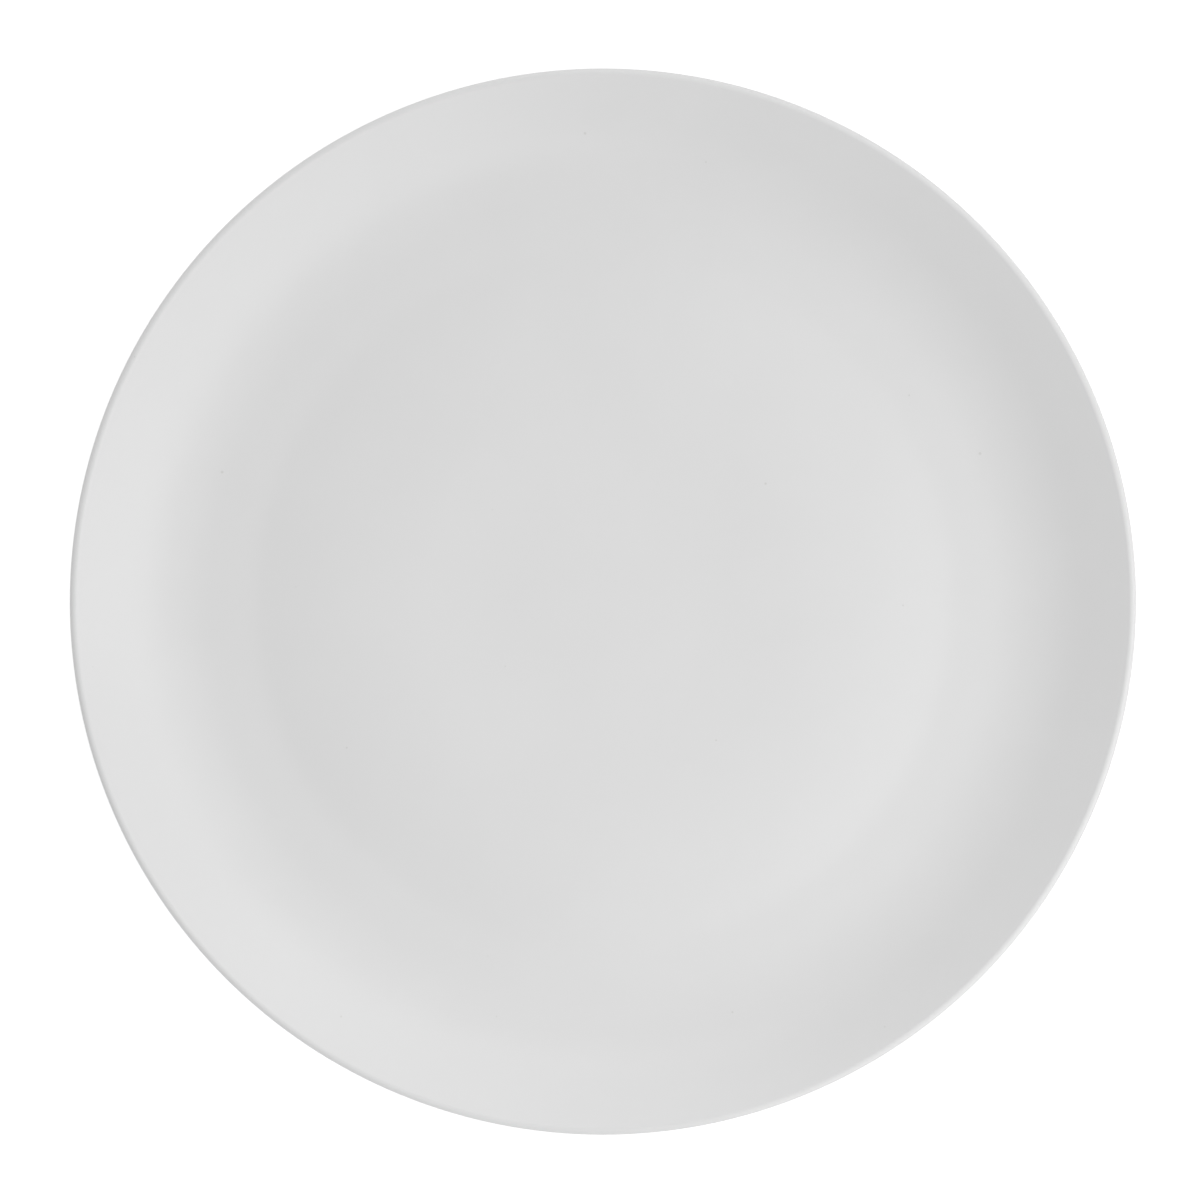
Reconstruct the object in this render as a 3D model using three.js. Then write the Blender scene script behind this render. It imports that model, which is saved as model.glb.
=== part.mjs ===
// Bread and butter plate: a rimless (coupe) plate of white stoneware under a satin white glaze.
// Millimetres, +Z up. The origin is on the plate's axis, in the plane of the foot ring's bearing face.
//
// The plate is one fired piece. Its clay body carries two coats of glaze: one over the eating face, round
// the lip and down the outside, and one inside the foot ring. The bearing face between them is bare.
// Every solid is turned about the axis from one half section, drawn as points of radius and height.

import * as THREE from "three";
import { mergeGeometries, mergeVertices } from "three/addons/utils/BufferGeometryUtils.js";

// Driving dimensions of the glazed plate, in millimetres and degrees
const plateDiameter = 165;
const lipDepth = 2.7; // upright thickness of the wall at the rim, before its edges are rounded
const lipRadius = 0.75; // rounding of the lip, from the wall's upper face to the outside
const lipUnderRadius = 1.2; // rounding under the lip
const wallHeight = 8.75; // lip's top above the corner where the shelf meets the wall
const wallAngle = 33; // slope of the wall's upper face
const wallTaper = 5; // the wall's underside is this much steeper, so the wall thins towards the lip
const coveRadius = 22.5; // hollow curve from the shelf up into the wall
const shelfRun = 13.75; // from the crease out to the corner of shelf and wall
const shelfFall = 0.9; // slope of the shelf, down towards the wall
const creaseRadius = 22; // soft change of slope above the foot ring
const crownRun = 13.75; // from the crown's corner out to the crease
const crownFall = 8.5; // slope of the crown, down towards the crease
const crownRadius = 130; // round of the crown, between the dish and the crease
const dishRun = 23; // from the edge of the level centre out to the crown's corner
const dishRise = 2.6; // slope of the dish, up towards the crown
const dishRadius = 200; // blend from the level centre into the dish
const floorThickness = 3.8; // glazed floor, measured upright
const footHeight = 3.5; // underside above the bearing face, under the crease
const footInset = 2.1; // foot ring's outer edge inside the crease
const footWidth = 2.6; // bearing face between its two edges, before they are rounded
const footDraft = 18; // lean of the foot ring's two sides
const footFillet = 2; // foot ring's sides into the underside
const footEdgeRadius = 0.6; // rounding along the bearing face
const bareHeight = 1.1; // glaze stops this far above the bearing face
const glazeThickness = 0.25;

// Fineness of the faceted solids
const sidesRound = 64;
const chordError = 0.07;
const fewestArcSteps = 2;

// Finish of the bare clay and of the glaze
const clayColour = 0xd9d5cc;
const clayRoughness = 0.85;
const glazeColour = 0xe9e9e8;
const glazeRoughness = 0.35;

const slope = (degrees) => THREE.MathUtils.degToRad(degrees);
const towards = (angle) => new THREE.Vector2(Math.cos(angle), Math.sin(angle));

// The outward side of a section that is drawn with its material on the left.
const outwardOf = (direction) => new THREE.Vector2(direction.y, -direction.x);

// Where two straight edges meet, each given by a point and the angle that it runs at.
function meet(pointA, angleA, pointB, angleB) {
  const alongA = towards(angleA);
  const alongB = towards(angleB);
  const across = pointB.clone().sub(pointA);
  return pointA.clone().addScaledVector(alongA, across.cross(alongB) / alongA.cross(alongB));
}

// A station is a point of the section with the direction that faces out of the material there.
function arcStations(centre, radius, startAngle, turn) {
  const finestStep = 2 * Math.acos(1 - chordError / radius);
  const steps = Math.max(fewestArcSteps, Math.ceil(Math.abs(turn) / finestStep));
  const arc = new THREE.ArcCurve(centre.x, centre.y, radius, startAngle, startAngle + turn, turn < 0);
  return arc.getPoints(steps).map((point) => {
    const outward = point.clone().sub(centre).multiplyScalar(Math.sign(turn) / radius);
    return { point, outward };
  });
}

// The stations along straight edges from the first point to the last, with each corner between rounded.
// corners: { point, radius }, where the two ends have no radius.
function stretchStations(corners) {
  const edges = corners.slice(1).map((corner, i) => corner.point.clone().sub(corners[i].point));
  const turns = corners.map((corner, i) =>
    corner.radius ? Math.atan2(edges[i - 1].cross(edges[i]), edges[i - 1].dot(edges[i])) : 0,
  );
  const setbacks = corners.map((corner, i) =>
    corner.radius ? corner.radius * Math.tan(Math.abs(turns[i]) / 2) : 0,
  );
  // Two roundings that share an edge are both made smaller where the edge is too short for them.
  const room = edges.map((edge, i) => Math.min(1, edge.length() / (setbacks[i] + setbacks[i + 1])));

  const ends = [0, corners.length - 1];
  return corners.flatMap((corner, i) => {
    if (ends.includes(i)) {
      const edge = edges[Math.min(i, edges.length - 1)].clone().normalize();
      return [{ point: corner.point, outward: outwardOf(edge) }];
    }
    const fit = Math.min(room[i - 1], room[i]);
    const radius = corner.radius * fit;
    const along = edges[i - 1].clone().normalize();
    const side = outwardOf(along).multiplyScalar(Math.sign(turns[i]));
    const start = corner.point.clone().addScaledVector(along, -setbacks[i] * fit);
    const centre = start.clone().addScaledVector(side, -radius);
    return arcStations(centre, radius, side.angle(), turns[i]);
  });
}

// The half section of the glazed plate, in three stretches from the axis below to the axis above.
function plateSection() {
  const wall = slope(wallAngle);
  const wallUnder = slope(wallAngle + wallTaper);
  const shelf = slope(-shelfFall);
  const crown = slope(-crownFall);
  const dish = slope(dishRise);
  const lean = slope(footDraft);
  const upright = Math.PI / 2;

  // Levels above the bearing face, from the crease out to the lip
  const creaseLevel = footHeight + floorThickness;
  const coveLevel = creaseLevel - shelfRun * Math.tan(slope(shelfFall));
  const outermost = plateDiameter / 2;
  const lipCentre = new THREE.Vector2(outermost - lipRadius, coveLevel + wallHeight - lipRadius);
  const lipInner = lipCentre.clone().addScaledVector(towards(wall + upright), lipRadius);
  const lipTop = meet(lipInner, wall, new THREE.Vector2(outermost, 0), upright);
  const lipUnder = new THREE.Vector2(outermost, lipTop.y - lipDepth);

  // Corners of the eating face
  const level = new THREE.Vector2(0, coveLevel);
  const coveCorner = meet(lipInner, wall, level, 0);
  const crease = new THREE.Vector2(coveCorner.x - shelfRun, creaseLevel);
  const crownCorner = new THREE.Vector2(crease.x - crownRun, creaseLevel + crownRun * Math.tan(-crown));
  const dishCorner = new THREE.Vector2(crownCorner.x - dishRun, crownCorner.y - dishRun * Math.tan(dish));
  const centre = new THREE.Vector2(0, dishCorner.y);

  // The underside runs one floor thickness below the eating face.
  const below = (point) => new THREE.Vector2(point.x, point.y - floorThickness);
  const bendCorner = meet(lipUnder, wallUnder, below(crease), shelf);

  // The foot ring's glazed sides, which stand one glaze thickness outside its bare clay
  const bearingOuter = crease.x - footInset;
  const bearingInner = bearingOuter - footWidth;
  const glazeReach = glazeThickness / Math.cos(lean);
  const outerSide = new THREE.Vector2(bearingOuter + glazeReach, 0);
  const innerSide = new THREE.Vector2(bearingInner - glazeReach, 0);
  const outerLean = upright - lean;
  const innerLean = upright + lean;
  const onBareLine = new THREE.Vector2(0, bareHeight);
  const underBearing = new THREE.Vector2(0, -glazeThickness);

  const recess = stretchStations([
    { point: below(centre) },
    { point: below(dishCorner), radius: dishRadius },
    { point: below(crownCorner), radius: crownRadius },
    { point: meet(innerSide, innerLean, below(crownCorner), crown), radius: footFillet },
    { point: meet(innerSide, innerLean, onBareLine, 0) },
  ]);
  const foot = stretchStations([
    { point: meet(innerSide, innerLean, onBareLine, 0) },
    { point: meet(innerSide, innerLean, underBearing, 0), radius: footEdgeRadius + glazeThickness },
    { point: meet(outerSide, outerLean, underBearing, 0), radius: footEdgeRadius + glazeThickness },
    { point: meet(outerSide, outerLean, onBareLine, 0) },
  ]);
  const face = stretchStations([
    { point: meet(outerSide, outerLean, onBareLine, 0) },
    { point: meet(outerSide, outerLean, below(crease), shelf), radius: footFillet },
    { point: bendCorner, radius: coveRadius + floorThickness },
    { point: lipUnder, radius: lipUnderRadius },
    { point: lipTop, radius: lipRadius },
    { point: coveCorner, radius: coveRadius },
    { point: crease, radius: creaseRadius },
    { point: crownCorner, radius: crownRadius },
    { point: dishCorner, radius: dishRadius },
    { point: centre },
  ]);
  return { recess, foot, face };
}

const glazedPoints = (stations) => stations.map((station) => station.point);

// The clay lies one glaze thickness inside the glazed outline.
function clayPoints(stations) {
  return stations.map(({ point, outward }) => point.clone().addScaledVector(outward, -glazeThickness));
}

// A surface turned about the upright axis from section points.
function turned(points) {
  const surface = new THREE.LatheGeometry(points, sidesRound);
  surface.deleteAttribute("normal");
  surface.deleteAttribute("uv");
  return surface.rotateX(Math.PI / 2);
}

// The same surface seen from its other side.
function turnedOver(surface) {
  const index = surface.getIndex();
  for (let corner = 0; corner < index.count; corner += 3) {
    const second = index.getX(corner + 1);
    index.setX(corner + 1, index.getX(corner + 2));
    index.setX(corner + 2, second);
  }
  return surface;
}

function solidMesh(name, surfaces, color, roughness) {
  const geometry = mergeVertices(mergeGeometries(surfaces));
  geometry.computeVertexNormals();
  const mesh = new THREE.Mesh(geometry, new THREE.MeshStandardMaterial({ color, roughness, metalness: 0 }));
  mesh.name = name;
  return mesh;
}

// The clay body with its foot ring, bare along the bearing face.
function plateBody({ recess, foot, face }) {
  const bareFoot = clayPoints(foot).slice(1, -1);
  const outline = [...clayPoints(recess), ...bareFoot, ...clayPoints(face)];
  return solidMesh("plate_body", [turned(outline)], clayColour, clayRoughness);
}

// The coat over the eating face, the lip and the outside, which ends in a square edge on the foot ring.
function faceGlaze({ face }) {
  const clay = clayPoints(face);
  const shown = turned([clay[0], ...glazedPoints(face)]);
  return solidMesh("face_glaze", [shown, turnedOver(turned(clay))], glazeColour, glazeRoughness);
}

// The coat inside the foot ring.
function baseGlaze({ recess }) {
  const clay = clayPoints(recess);
  const shown = turned([...glazedPoints(recess), clay.at(-1)]);
  return solidMesh("base_glaze", [shown, turnedOver(turned(clay))], glazeColour, glazeRoughness);
}

const section = plateSection();
const plate = new THREE.Group();
plate.add(plateBody(section), faceGlaze(section), baseGlaze(section));

export default plate;
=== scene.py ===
"""Bread and butter plate: a rimless white stoneware plate under a satin glaze, seen from straight above.

Metres, +Z up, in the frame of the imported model. The plate is turned about the Z axis from one half section.
"""

import math

import bpy
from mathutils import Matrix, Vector, noise


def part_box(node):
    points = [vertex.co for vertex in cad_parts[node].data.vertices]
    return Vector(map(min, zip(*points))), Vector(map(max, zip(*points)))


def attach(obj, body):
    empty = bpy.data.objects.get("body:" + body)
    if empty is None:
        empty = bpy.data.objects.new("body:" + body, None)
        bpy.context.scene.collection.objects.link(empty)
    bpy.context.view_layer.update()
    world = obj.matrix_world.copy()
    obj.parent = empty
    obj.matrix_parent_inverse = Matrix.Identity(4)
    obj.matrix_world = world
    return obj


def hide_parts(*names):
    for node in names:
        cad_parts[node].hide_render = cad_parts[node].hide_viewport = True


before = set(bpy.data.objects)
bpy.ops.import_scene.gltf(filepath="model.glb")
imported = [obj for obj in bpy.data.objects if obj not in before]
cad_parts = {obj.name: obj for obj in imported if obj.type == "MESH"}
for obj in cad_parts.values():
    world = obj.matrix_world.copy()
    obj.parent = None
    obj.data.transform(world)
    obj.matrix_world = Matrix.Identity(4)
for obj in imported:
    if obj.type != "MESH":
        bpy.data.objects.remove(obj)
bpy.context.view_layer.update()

MM = 0.001
UPRIGHT = math.pi / 2

# Sizes that the frame gives
PLATE_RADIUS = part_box("face_glaze")[1].x
PLATE_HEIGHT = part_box("face_glaze")[1].z
BARE_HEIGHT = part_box("face_glaze")[0].z
GLAZE_THICKNESS = PLATE_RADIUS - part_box("plate_body")[1].x

# The rest of the half section, in metres and degrees
LIP_DEPTH = 2.7 * MM
LIP_RADIUS = 0.75 * MM
LIP_UNDER_RADIUS = 1.2 * MM
WALL_HEIGHT = 8.75 * MM
WALL_ANGLE = 33
WALL_TAPER = 5
COVE_RADIUS = 22.5 * MM
SHELF_RUN = 13.75 * MM
SHELF_FALL = 0.9
CREASE_RADIUS = 22 * MM
CROWN_RUN = 13.75 * MM
CROWN_FALL = 8.5
CROWN_RADIUS = 130 * MM
DISH_RUN = 23 * MM
DISH_RISE = 2.6
DISH_RADIUS = 200 * MM
FLOOR_THICKNESS = 3.8 * MM
FOOT_INSET = 2.1 * MM
FOOT_WIDTH = 2.6 * MM
FOOT_DRAFT = 18
FOOT_FILLET = 2 * MM
FOOT_EDGE_RADIUS = 0.6 * MM
FOOT_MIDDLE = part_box("base_glaze")[1].x + FOOT_WIDTH / 2

# Which side of the foot ring a piece's glaze line runs along
OUTER_SIDE = 1
INNER_SIDE = -1
NO_GLAZE_LINE = 0

# Fineness of the turned meshes; section points nearer than the least step count as one
SIDES_ROUND = 256
ARC_STEP = math.radians(5)
STRAIGHT_STEP = 1.6 * MM
FEWEST_ARC_STEPS = 4
LEAST_STEP = 0.01 * MM

# Unevenness of the fired plate, which fades out at the foot ring and at the lip
WARP_HEIGHT = 0.008 * MM
WARP_SPAN = 34 * MM
WARP_FADE = 6 * MM

# The glaze ends on the foot ring in a rounded bead, along a line that wavers
BEAD_STEPS = 6
WAVER_HEIGHT = 0.25 * MM
WAVER_REACH = 1.2 * MM
WAVES_ROUND = 4

# The photograph is 1200 pixels square. The plate's middle and its outer edge were measured in it.
PHOTO_SIDE = 1200
PHOTO_COLUMN = 603.05
PHOTO_ROW = 601.62
PHOTO_RADIUS = 533.3
SENSOR_MILLIMETRES = 36
CAMERA_DISTANCE = 1.0

# Light panels, which all face the plate: lean from the vertical and azimuth in degrees, sizes in metres
PANELS = [
    {
        "name": "near_panel", "lean": 52, "azimuth": -38, "distance": 0.42,
        "width": 0.4, "length": 0.6, "radiance": 0.98,
    },
    {
        "name": "back_panel", "lean": 60, "azimuth": 75, "distance": 1.0,
        "width": 0.9, "length": 1.2, "radiance": 0.77,
    },
    {
        "name": "top_panel", "lean": 12, "azimuth": -5, "distance": 1.4,
        "width": 0.42, "length": 0.8, "radiance": 0.13,
    },
]

# Light of the world on the plate, and the strength at which the backdrop is seen as white
AMBIENT_LIGHT = 0.585
BACKDROP_LIGHT = 1

# Glaze: neutral white, a little uneven in tone and gloss, with fine specks, an orange-peel surface
# and the faint rings that the turning of the plate leaves; a scale is the number of spots along a metre
GLAZE_THIN = (0.795, 0.795, 0.795, 1)
GLAZE_THICK = (0.805, 0.805, 0.805, 1)
GLAZE_CLOUD_SCALE = 70
GLAZE_CLOUD_DETAIL = 3
GLAZE_GLOSS_DETAIL = 5
GLAZE_ROUGHNESS_LOW = 0.28
GLAZE_ROUGHNESS_HIGH = 0.34
SPECK_SCALE = 34
SPECK_RADIUS = 0.3 * MM
SPECK_SOFTNESS = 0.4
SPECK_COLOUR = (0.7, 0.7, 0.69, 1)
PEEL_SCALE = 700
PEEL_DETAIL = 2
PEEL_DEPTH = 0.0006 * MM
RING_SPAN = 4.5 * MM
RING_DETAIL = 1
RING_DEPTH = 0.006 * MM

# Bare clay on the foot ring: warm grey-white, grainy and a little worn
CLAY_DARK = (0.6, 0.565, 0.5, 1)
CLAY_LIGHT = (0.74, 0.71, 0.655, 1)
CLAY_WORN = (0.5, 0.48, 0.45, 1)
CLAY_WEAR = 0.35
CLAY_WEAR_SCALE = 160
CLAY_WEAR_DETAIL = 4
CLAY_GRAIN_SCALE = 2600
CLAY_GRAIN_DETAIL = 6
CLAY_GRAIN_DEPTH = 0.04 * MM
CLAY_ROUGHNESS = 0.85

# Where nearly all of a noise texture's values lie
NOISE_LOW = 0.3
NOISE_HIGH = 0.7

# A factor on a place that leaves only its distance from the axis
ACROSS_ONLY = (1, 1, 0)

# Matte floor under the plate, lifted to white where it is seen
FLOOR_SIDE = 6.0
FLOOR_DROP = 0.02 * MM
FLOOR_COLOUR = (0.8, 0.8, 0.8, 1)
FLOOR_ROUGHNESS = 1
FLOOR_SPECULAR = 0
FLOOR_LIFT = 0.6
WHITE = (1, 1, 1, 1)


# Half section

def towards(angle):
    """The direction that runs at an angle, in the half section or seen from above."""
    return Vector((math.cos(angle), math.sin(angle)))


def outward_of(direction):
    """The outward side of a section that is drawn with its material on the left."""
    return Vector((direction.y, -direction.x))


def meet(point_a, angle_a, point_b, angle_b):
    """Where two straight edges meet, each given by a point and the angle that it runs at."""
    along_a = towards(angle_a)
    along_b = towards(angle_b)
    return point_a + along_a * ((point_b - point_a).cross(along_b) / along_a.cross(along_b))


def arc_stations(centre, radius, start_angle, turn):
    """Stations, each a point with its outward direction, along an arc."""
    steps_by_angle = math.ceil(abs(turn) / ARC_STEP)
    steps_by_length = math.ceil(abs(turn) * radius / STRAIGHT_STEP)
    steps = max(FEWEST_ARC_STEPS, steps_by_angle, steps_by_length)
    rays = [towards(start_angle + turn * step / steps) for step in range(steps + 1)]
    facing = math.copysign(1, turn)
    return [(centre + ray * radius, ray * facing) for ray in rays]


def straight_stations(start, end):
    """Stations between two points, without the points themselves."""
    steps = math.ceil((end - start).length / STRAIGHT_STEP)
    outward = outward_of((end - start).normalized())
    return [(start.lerp(end, step / steps), outward) for step in range(1, steps)]


def stretch_stations(corners):
    """Stations along straight edges through corners of (point, radius), each rounded, from end to end."""
    points = [point for point, radius in corners]
    edges = [end - start for start, end in zip(points, points[1:])]
    outward = [outward_of(edge.normalized()) for edge in edges]
    turns = [0, *(math.atan2(a.cross(b), a.dot(b)) for a, b in zip(edges, edges[1:])), 0]
    setbacks = [radius * math.tan(abs(turn) / 2) for (point, radius), turn in zip(corners, turns)]
    # Two roundings that share an edge are both made smaller where the edge is too short for them.
    room = [min(1, edge.length / (near + far)) for edge, near, far in zip(edges, setbacks, setbacks[1:])]

    stations = [(points[0], outward[0])]
    for i in range(1, len(corners) - 1):
        fit = min(room[i - 1], room[i])
        radius = corners[i][1] * fit
        side = outward[i - 1] * math.copysign(1, turns[i])
        start = points[i] - edges[i - 1].normalized() * (setbacks[i] * fit)
        stations += straight_stations(stations[-1][0], start)
        stations += arc_stations(start - side * radius, radius, math.atan2(side.y, side.x), turns[i])
    stations += straight_stations(stations[-1][0], points[-1])
    return without_repeats([*stations, (points[-1], outward[-1])])


def without_repeats(stations):
    """The stations, less those that repeat the place before them where two roundings meet."""
    kept = stations[:1]
    for point, outward in stations[1:]:
        if (point - kept[-1][0]).length > LEAST_STEP:
            kept.append((point, outward))
    return kept


def plate_section():
    """The half section of the glazed plate: recess, foot and face, from the axis below to the axis above."""
    wall = math.radians(WALL_ANGLE)
    wall_under = math.radians(WALL_ANGLE + WALL_TAPER)
    shelf = math.radians(-SHELF_FALL)
    crown = math.radians(-CROWN_FALL)
    dish = math.radians(DISH_RISE)
    lean = math.radians(FOOT_DRAFT)

    lip_centre = Vector((PLATE_RADIUS - LIP_RADIUS, PLATE_HEIGHT - LIP_RADIUS))
    lip_inner = lip_centre + towards(wall + UPRIGHT) * LIP_RADIUS
    lip_top = meet(lip_inner, wall, Vector((PLATE_RADIUS, 0)), UPRIGHT)
    lip_under = lip_top - Vector((0, LIP_DEPTH))

    cove_corner = meet(lip_inner, wall, Vector((0, PLATE_HEIGHT - WALL_HEIGHT)), 0)
    crease = cove_corner + Vector((-1, -math.tan(shelf))) * SHELF_RUN
    crown_corner = crease + Vector((-1, -math.tan(crown))) * CROWN_RUN
    dish_corner = crown_corner + Vector((-1, -math.tan(dish))) * DISH_RUN
    centre = Vector((0, dish_corner.y))

    drop = Vector((0, -FLOOR_THICKNESS))
    bend_corner = meet(lip_under, wall_under, crease + drop, shelf)
    glaze_reach = GLAZE_THICKNESS / math.cos(lean)
    outer_side = Vector((crease.x - FOOT_INSET + glaze_reach, 0))
    inner_side = Vector((crease.x - FOOT_INSET - FOOT_WIDTH - glaze_reach, 0))
    outer_lean = UPRIGHT - lean
    inner_lean = UPRIGHT + lean
    bare_line = Vector((0, BARE_HEIGHT))
    under_bearing = Vector((0, -GLAZE_THICKNESS))
    edge_radius = FOOT_EDGE_RADIUS + GLAZE_THICKNESS
    inner_bare = meet(inner_side, inner_lean, bare_line, 0)
    outer_bare = meet(outer_side, outer_lean, bare_line, 0)

    recess = stretch_stations([
        (centre + drop, 0),
        (dish_corner + drop, DISH_RADIUS),
        (crown_corner + drop, CROWN_RADIUS),
        (meet(inner_side, inner_lean, crown_corner + drop, crown), FOOT_FILLET),
        (inner_bare, 0),
    ])
    foot = stretch_stations([
        (inner_bare, 0),
        (meet(inner_side, inner_lean, under_bearing, 0), edge_radius),
        (meet(outer_side, outer_lean, under_bearing, 0), edge_radius),
        (outer_bare, 0),
    ])
    face = stretch_stations([
        (outer_bare, 0),
        (meet(outer_side, outer_lean, crease + drop, shelf), FOOT_FILLET),
        (bend_corner, COVE_RADIUS + FLOOR_THICKNESS),
        (lip_under, LIP_UNDER_RADIUS),
        (lip_top, LIP_RADIUS),
        (cove_corner, COVE_RADIUS),
        (crease, CREASE_RADIUS),
        (crown_corner, CROWN_RADIUS),
        (dish_corner, DISH_RADIUS),
        (centre, 0),
    ])
    return recess, foot, face


def glazed_points(stations):
    """The glazed outline itself."""
    return [point for point, outward in stations]


def clay_points(stations):
    """The clay lies one glaze thickness inside the glazed outline."""
    return [point - outward * GLAZE_THICKNESS for point, outward in stations]


def bead_points(station, downward):
    """The rounded end of the glaze from the clay to its outer side, below the last station of a coat."""
    point, outward = station
    half = GLAZE_THICKNESS / 2
    middle = point - outward * half
    angles = [math.pi * step / BEAD_STEPS for step in range(1, BEAD_STEPS)]
    return [middle + (downward * math.sin(angle) - outward * math.cos(angle)) * half for angle in angles]


# Turned meshes

def unevenness(x, y):
    """How far the fired plate stands off its ideal shape at a place."""
    radius = math.hypot(x, y)
    clear = min(abs(radius - FOOT_MIDDLE) - FOOT_WIDTH, PLATE_RADIUS - LIP_DEPTH - radius)
    fade = min(1, max(0, clear / WARP_FADE))
    return WARP_HEIGHT * fade * noise.noise(Vector((x, y, 0)) / WARP_SPAN)


def waver(angle, height):
    """How far the glaze line on the foot ring runs up or down, fading out up the foot ring's side."""
    near = min(1, max(0, 1 - (height - BARE_HEIGHT) / WAVER_REACH))
    place = towards(angle).to_3d() * WAVES_ROUND
    return WAVER_HEIGHT * near * noise.noise(place)


def turned_place(radius, height, angle, foot_side):
    """A vertex of a turned mesh, with the waver along the foot ring's side and the unevenness added."""
    lift = abs(foot_side) * waver(angle, height)
    reach = radius + foot_side * lift * math.tan(math.radians(FOOT_DRAFT))
    x = reach * math.cos(angle)
    y = reach * math.sin(angle)
    return x, y, max(0, height + lift + unevenness(x, y))


def faces_between(lower, upper):
    """The faces between two rings of vertices, either of which may be a single vertex on the axis."""
    faces = []
    for side in range(SIDES_ROUND):
        following = (side + 1) % SIDES_ROUND
        corners = [
            lower[side % len(lower)],
            lower[following % len(lower)],
            upper[following % len(upper)],
            upper[side % len(upper)],
        ]
        faces.append(list(dict.fromkeys(corners)))
    return faces


def turned_mesh(name, outline, foot_side):
    """A closed mesh turned about the Z axis from an outline; points on the axis become single vertices."""
    angles_round = [math.tau * side / SIDES_ROUND for side in range(SIDES_ROUND)]
    vertices = []
    rings = []
    for radius, height in outline:
        first = len(vertices)
        if radius > GLAZE_THICKNESS:
            vertices += [turned_place(radius, height, angle, foot_side) for angle in angles_round]
        else:
            vertices.append(turned_place(0, height, 0, foot_side))
        rings.append(range(first, len(vertices)))
    faces = []
    for lower, upper in zip(rings, rings[1:]):
        faces += faces_between(lower, upper)
    mesh = bpy.data.meshes.new(name)
    mesh.from_pydata(vertices, [], faces)
    mesh.validate()
    mesh.shade_smooth()
    return mesh


def add_piece(name, outline, foot_side, node, material):
    """A turned piece that stands for a node of the frame."""
    piece = bpy.data.objects.new(name, turned_mesh(name, outline, foot_side))
    bpy.context.scene.collection.objects.link(piece)
    piece.data.materials.append(material)
    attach(piece, "root")
    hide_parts(node)


# Materials

def new_material(name):
    """A new material with its nodes and its shader."""
    material = bpy.data.materials.new(name)
    material.use_nodes = True
    return material, material.node_tree, material.node_tree.nodes["Principled BSDF"]


def mapped_noise(tree, scale, detail, low, high):
    """Noise over the piece in its own metres, spread between two values."""
    place = tree.nodes.new("ShaderNodeTexCoord")
    texture = tree.nodes.new("ShaderNodeTexNoise")
    texture.inputs["Scale"].default_value = scale
    texture.inputs["Detail"].default_value = detail
    spread = tree.nodes.new("ShaderNodeMapRange")
    spread.inputs["From Min"].default_value = NOISE_LOW
    spread.inputs["From Max"].default_value = NOISE_HIGH
    spread.inputs["To Min"].default_value = low
    spread.inputs["To Max"].default_value = high
    tree.links.new(place.outputs["Object"], texture.inputs["Vector"])
    tree.links.new(texture.outputs["Fac"], spread.inputs["Value"])
    return spread.outputs["Result"]


def specks(tree, scale, radius):
    """1 inside small specks, round from above and at most as large as the radius, and 0 elsewhere."""
    place = tree.nodes.new("ShaderNodeTexCoord")
    cells = tree.nodes.new("ShaderNodeTexVoronoi")
    cells.voronoi_dimensions = "2D"
    cells.inputs["Scale"].default_value = scale
    # A cell's own random value makes its speck smaller.
    random = tree.nodes.new("ShaderNodeSeparateColor")
    relative = tree.nodes.new("ShaderNodeMath")
    relative.operation = "DIVIDE"
    spread = tree.nodes.new("ShaderNodeMapRange")
    spread.inputs["From Min"].default_value = radius * scale
    spread.inputs["From Max"].default_value = radius * scale * SPECK_SOFTNESS
    tree.links.new(place.outputs["Object"], cells.inputs["Vector"])
    tree.links.new(cells.outputs["Color"], random.inputs["Color"])
    tree.links.new(cells.outputs["Distance"], relative.inputs[0])
    tree.links.new(random.outputs["Red"], relative.inputs[1])
    tree.links.new(relative.outputs["Value"], spread.inputs["Value"])
    return spread.outputs["Result"]


def blended(tree, factor, colour_low, colour_high):
    """A colour between two, by a factor; either colour may come from another node."""
    mix = tree.nodes.new("ShaderNodeMix")
    mix.data_type = "RGBA"
    tree.links.new(factor, mix.inputs["Factor"])
    for name, colour in (("A", colour_low), ("B", colour_high)):
        socket = next(s for s in mix.inputs if s.name == name and s.type == "RGBA")
        if isinstance(colour, tuple):
            socket.default_value = colour
        else:
            tree.links.new(colour, socket)
    return next(s for s in mix.outputs if s.type == "RGBA")


def turning_rings(tree, span):
    """Noise along the radius alone, so that it makes rings round the axis."""
    place = tree.nodes.new("ShaderNodeTexCoord")
    level = tree.nodes.new("ShaderNodeVectorMath")
    level.operation = "MULTIPLY"
    level.inputs[1].default_value = ACROSS_ONLY
    radius = tree.nodes.new("ShaderNodeVectorMath")
    radius.operation = "LENGTH"
    texture = tree.nodes.new("ShaderNodeTexNoise")
    texture.noise_dimensions = "1D"
    texture.inputs["Scale"].default_value = 1 / span
    texture.inputs["Detail"].default_value = RING_DETAIL
    tree.links.new(place.outputs["Object"], level.inputs[0])
    tree.links.new(level.outputs["Vector"], radius.inputs[0])
    tree.links.new(radius.outputs["Value"], texture.inputs["W"])
    return texture.outputs["Fac"]


def add_bump(tree, shader, height, depth):
    """A relief on the shader's surface, over any relief that it already has."""
    bump = tree.nodes.new("ShaderNodeBump")
    bump.inputs["Distance"].default_value = depth
    tree.links.new(height, bump.inputs["Height"])
    normal = shader.inputs["Normal"]
    if normal.is_linked:
        tree.links.new(normal.links[0].from_socket, bump.inputs["Normal"])
    tree.links.new(bump.outputs["Normal"], normal)


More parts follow.
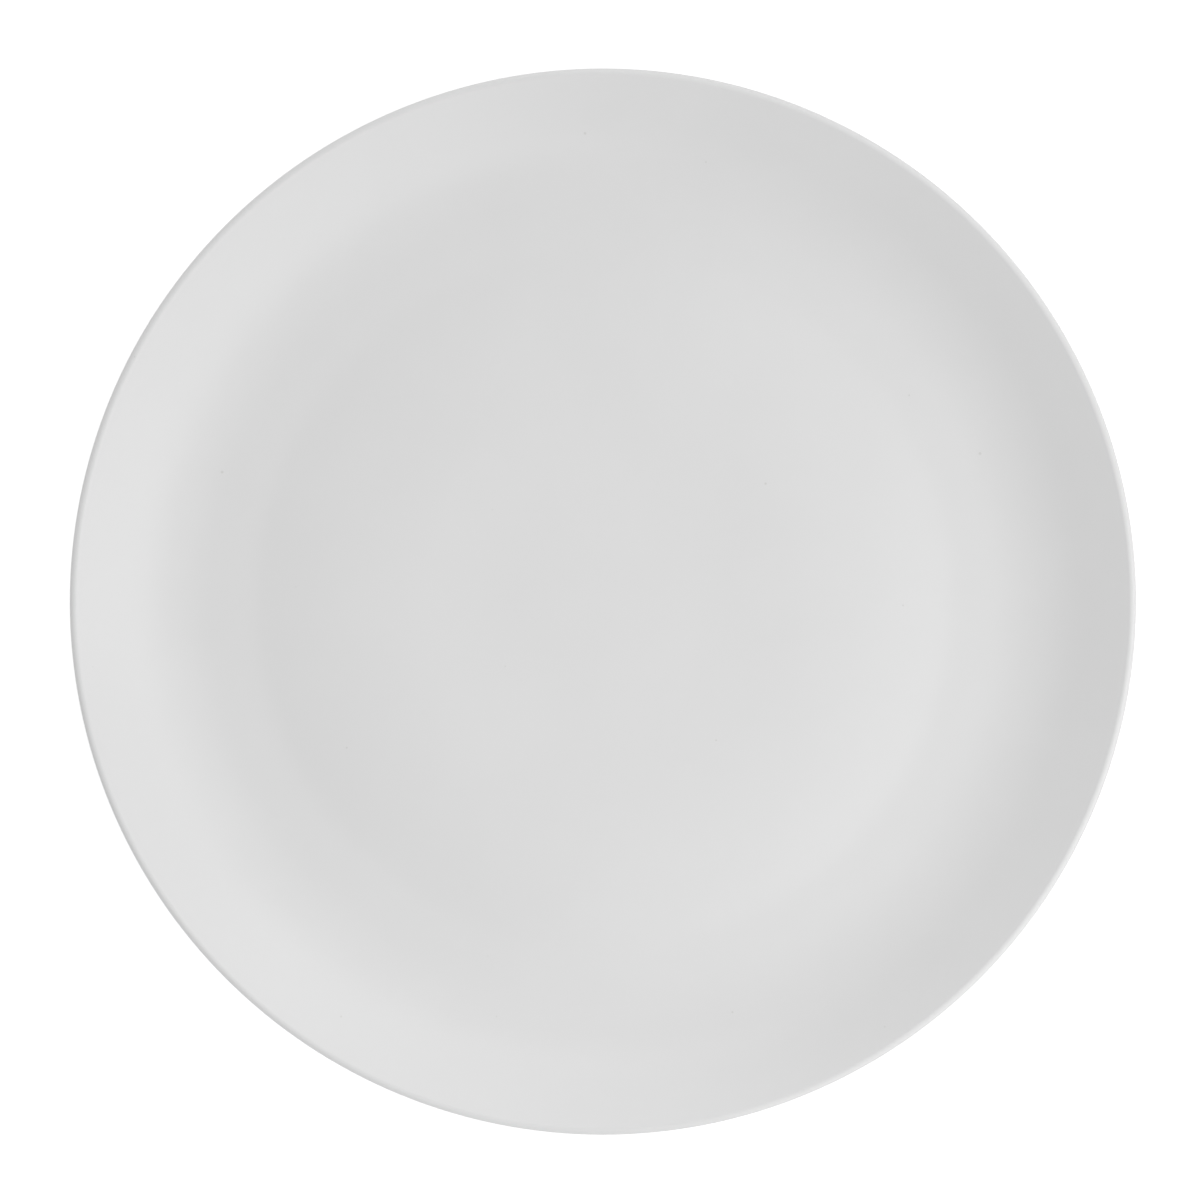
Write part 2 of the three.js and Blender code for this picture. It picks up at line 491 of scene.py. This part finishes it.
def glaze_material():
    """Satin white glaze."""
    material, tree, shader = new_material("satin_glaze")
    clouds = mapped_noise(tree, GLAZE_CLOUD_SCALE, GLAZE_CLOUD_DETAIL, low=0, high=1)
    colour = blended(tree, clouds, GLAZE_THIN, GLAZE_THICK)
    colour = blended(tree, specks(tree, SPECK_SCALE, SPECK_RADIUS), colour, SPECK_COLOUR)
    tree.links.new(colour, shader.inputs["Base Color"])
    satin = mapped_noise(
        tree, GLAZE_CLOUD_SCALE, GLAZE_GLOSS_DETAIL, low=GLAZE_ROUGHNESS_LOW, high=GLAZE_ROUGHNESS_HIGH
    )
    tree.links.new(satin, shader.inputs["Roughness"])
    peel = mapped_noise(tree, PEEL_SCALE, PEEL_DETAIL, low=0, high=1)
    add_bump(tree, shader, peel, PEEL_DEPTH)
    add_bump(tree, shader, turning_rings(tree, RING_SPAN), RING_DEPTH)
    return material


def clay_material():
    """Bare fired clay."""
    material, tree, shader = new_material("bare_clay")
    grain = mapped_noise(tree, CLAY_GRAIN_SCALE, CLAY_GRAIN_DETAIL, low=0, high=1)
    colour = blended(tree, grain, CLAY_DARK, CLAY_LIGHT)
    wear = mapped_noise(tree, CLAY_WEAR_SCALE, CLAY_WEAR_DETAIL, low=0, high=CLAY_WEAR)
    colour = blended(tree, wear, colour, CLAY_WORN)
    tree.links.new(colour, shader.inputs["Base Color"])
    shader.inputs["Roughness"].default_value = CLAY_ROUGHNESS
    add_bump(tree, shader, grain, CLAY_GRAIN_DEPTH)
    return material


# Stage

def seen_as_white(tree):
    """1 for the rays that see or mirror the backdrop: camera, glossy and transmission rays."""
    path = tree.nodes.new("ShaderNodeLightPath")
    total = path.outputs["Is Camera Ray"]
    for ray in ("Is Glossy Ray", "Is Transmission Ray"):
        add = tree.nodes.new("ShaderNodeMath")
        add.operation = "ADD"
        add.use_clamp = True
        tree.links.new(total, add.inputs[0])
        tree.links.new(path.outputs[ray], add.inputs[1])
        total = add.outputs[0]
    return total


def add_floor():
    """A pale floor that is seen as white and keeps the plate's shadow."""
    half = FLOOR_SIDE / 2
    mesh = bpy.data.meshes.new("floor")
    corners = [(-half, -half, 0), (half, -half, 0), (half, half, 0), (-half, half, 0)]
    mesh.from_pydata(corners, [], [(0, 1, 2, 3)])
    floor = bpy.data.objects.new("floor", mesh)
    floor.location.z = -FLOOR_DROP
    bpy.context.scene.collection.objects.link(floor)
    material, tree, shader = new_material("pale_floor")
    shader.inputs["Base Color"].default_value = FLOOR_COLOUR
    shader.inputs["Roughness"].default_value = FLOOR_ROUGHNESS
    shader.inputs["Specular IOR Level"].default_value = FLOOR_SPECULAR
    shader.inputs["Emission Color"].default_value = WHITE
    lift = tree.nodes.new("ShaderNodeMath")
    lift.operation = "MULTIPLY"
    lift.inputs[1].default_value = FLOOR_LIFT
    tree.links.new(seen_as_white(tree), lift.inputs[0])
    tree.links.new(lift.outputs[0], shader.inputs["Emission Strength"])
    mesh.materials.append(material)


def add_world():
    """Even light from all round, and a white backdrop where the world itself is seen."""
    world = bpy.data.worlds.new("studio")
    world.use_nodes = True
    tree = world.node_tree
    background = tree.nodes["Background"]
    background.inputs["Color"].default_value = WHITE
    level = tree.nodes.new("ShaderNodeMapRange")
    level.inputs["To Min"].default_value = AMBIENT_LIGHT
    level.inputs["To Max"].default_value = BACKDROP_LIGHT
    tree.links.new(seen_as_white(tree), level.inputs["Value"])
    tree.links.new(level.outputs["Result"], background.inputs["Strength"])
    bpy.context.scene.world = world


def add_panel(name, lean, azimuth, distance, width, length, radiance):
    """A soft light that faces the plate; its width runs up and down, its length runs round the plate."""
    light = bpy.data.lights.new(name, "AREA")
    light.shape = "RECTANGLE"
    light.size = length
    light.size_y = width
    light.energy = radiance * math.pi * width * length
    panel = bpy.data.objects.new(name, light)
    away = towards(math.radians(azimuth)).to_3d() * math.sin(math.radians(lean))
    away.z = math.cos(math.radians(lean))
    panel.location = away * distance
    panel.rotation_euler = away.to_track_quat("Z", "Y").to_euler()
    panel.visible_camera = False
    bpy.context.scene.collection.objects.link(panel)


def add_camera():
    """Straight above, so that the plate's middle and outer edge fall where the photograph has them."""
    pixel = PLATE_RADIUS / PHOTO_RADIUS
    widest_level = PLATE_HEIGHT - LIP_RADIUS
    camera_data = bpy.data.cameras.new("camera")
    camera_data.sensor_width = SENSOR_MILLIMETRES
    camera_data.lens = SENSOR_MILLIMETRES * CAMERA_DISTANCE / (pixel * PHOTO_SIDE)
    camera = bpy.data.objects.new("camera", camera_data)
    camera.location = (
        (PHOTO_SIDE / 2 - PHOTO_COLUMN) * pixel,
        (PHOTO_ROW - PHOTO_SIDE / 2) * pixel,
        widest_level + CAMERA_DISTANCE,
    )
    bpy.context.scene.collection.objects.link(camera)
    bpy.context.scene.camera = camera


def add_plate():
    """The clay body and its two coats of glaze, which end in a bead on either side of the foot ring."""
    recess, foot, face = plate_section()
    clay_recess = clay_points(recess)
    clay_face = clay_points(face)
    bare_foot = clay_points(foot)[1:-1]
    lean = math.radians(FOOT_DRAFT)
    outer_bead = bead_points(face[0], -towards(UPRIGHT - lean))
    inner_bead = bead_points(recess[-1], -towards(UPRIGHT + lean))
    glaze = glaze_material()

    body_outline = clay_recess + bare_foot + clay_face
    add_piece("clay_body", body_outline, NO_GLAZE_LINE, "plate_body", clay_material())

    face_outline = clay_face[::-1] + outer_bead + glazed_points(face)
    add_piece("glazed_face", face_outline, OUTER_SIDE, "face_glaze", glaze)

    base_outline = glazed_points(recess) + inner_bead[::-1] + clay_recess[::-1]
    add_piece("glazed_base", base_outline, INNER_SIDE, "base_glaze", glaze)


add_plate()
add_floor()
add_world()
for panel in PANELS:
    add_panel(**panel)
add_camera()
bpy.context.scene.view_settings.view_transform = "Standard"
